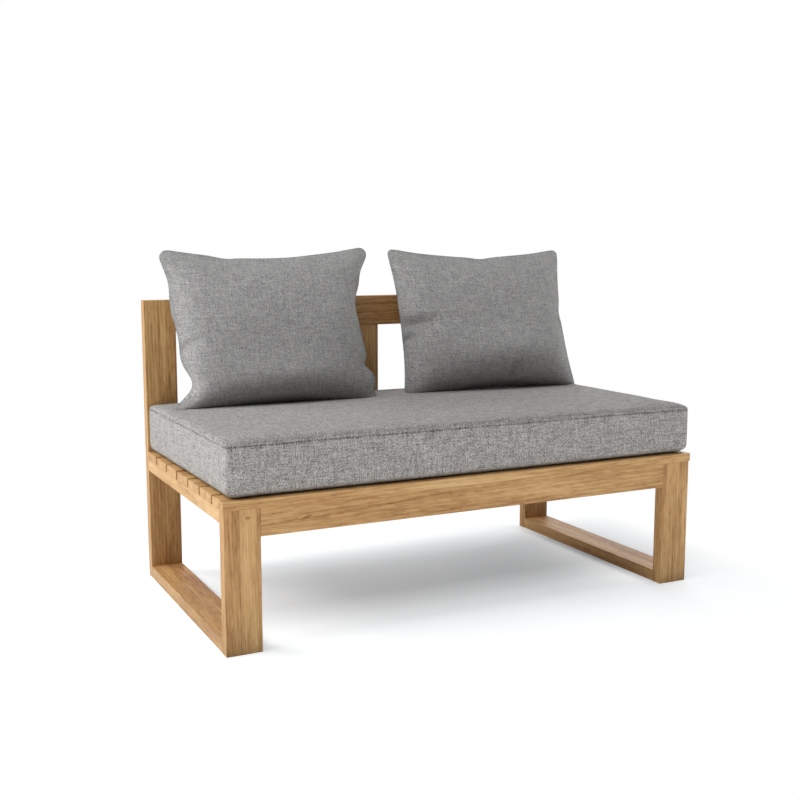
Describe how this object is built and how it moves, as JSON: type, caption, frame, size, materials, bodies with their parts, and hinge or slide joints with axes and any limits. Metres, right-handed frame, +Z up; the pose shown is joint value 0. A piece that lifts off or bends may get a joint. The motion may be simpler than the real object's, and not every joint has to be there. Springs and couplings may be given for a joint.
{
  "type": "modular bench",
  "caption": "Armless two-seat modular patio bench: teak sled end frames, slatted deck and back rail, with a boxed grey seat cushion and loose knife-edge back pillows.",
  "frame": {"origin": "on the floor, in the middle of the footprint", "axes": "+X to the right as seen from the front, +Y to the back, +Z up"},
  "size_m": [1.404, 0.758, 0.9488],
  "materials": {
    "teak": "satin",
    "dowel_wood": "matte",
    "screw_steel": "satin",
    "seat_fabric": "matte",
    "pillow_fabric": "matte",
    "foam": "matte",
    "fibre_fill": "matte",
    "zip_tape": "matte",
    "zip_metal": "satin"
  },
  "bodies": {
    "frame": {"left_front_post": "teak", "left_rear_post": "teak", "left_bottom_rail": "teak", "left_top_rail": "teak", "right_front_post": "teak", "right_rear_post": "teak", "right_bottom_rail": "teak", "right_top_rail": "teak", "front_apron": "teak", "rear_apron": "teak", "centre_bearer": "teak", "back_rail": "teak", "centre_back_post": "teak", "slat_1": "teak", "slat_2": "teak", "slat_3": "teak", "slat_4": "teak", "slat_5": "teak", "slat_6": "teak", "slat_7": "teak", "left_frame_dowels": "dowel_wood", "right_frame_dowels": "dowel_wood", "front_apron_dowels": "dowel_wood", "rear_apron_dowels": "dowel_wood", "bearer_dowels": "dowel_wood", "back_rail_dowels": "dowel_wood", "back_post_dowels": "dowel_wood", "left_slat_screws": "screw_steel", "centre_slat_screws": "screw_steel", "right_slat_screws": "screw_steel"},
    "seat_cushion": {"seat_cushion_cover": "seat_fabric", "seat_cushion_core": "foam", "seat_zip": "zip_tape"},
    "zip_slider": {"zip_slider": "zip_metal"},
    "left_pillow": {"left_pillow_cover": "pillow_fabric", "left_pillow_insert": "fibre_fill"},
    "right_pillow": {"right_pillow_cover": "pillow_fabric", "right_pillow_insert": "fibre_fill"}
  },
  "joints": [
    {"name": "seat_lift", "type": "slide", "parent": "frame", "child": "seat_cushion", "axis": [0, 0, 1], "range_m": [0, 0.45]},
    {"name": "left_pillow_lift", "type": "slide", "parent": "seat_cushion", "child": "left_pillow", "axis": [0, 0, 1], "range_m": [0, 0.32]},
    {"name": "right_pillow_lift", "type": "slide", "parent": "seat_cushion", "child": "right_pillow", "axis": [0, 0, 1], "range_m": [0, 0.32]},
    {"name": "zip_run", "type": "slide", "parent": "seat_cushion", "child": "zip_slider", "axis": [-1, 0, 0], "range_m": [0, 0.983]}
  ]
}
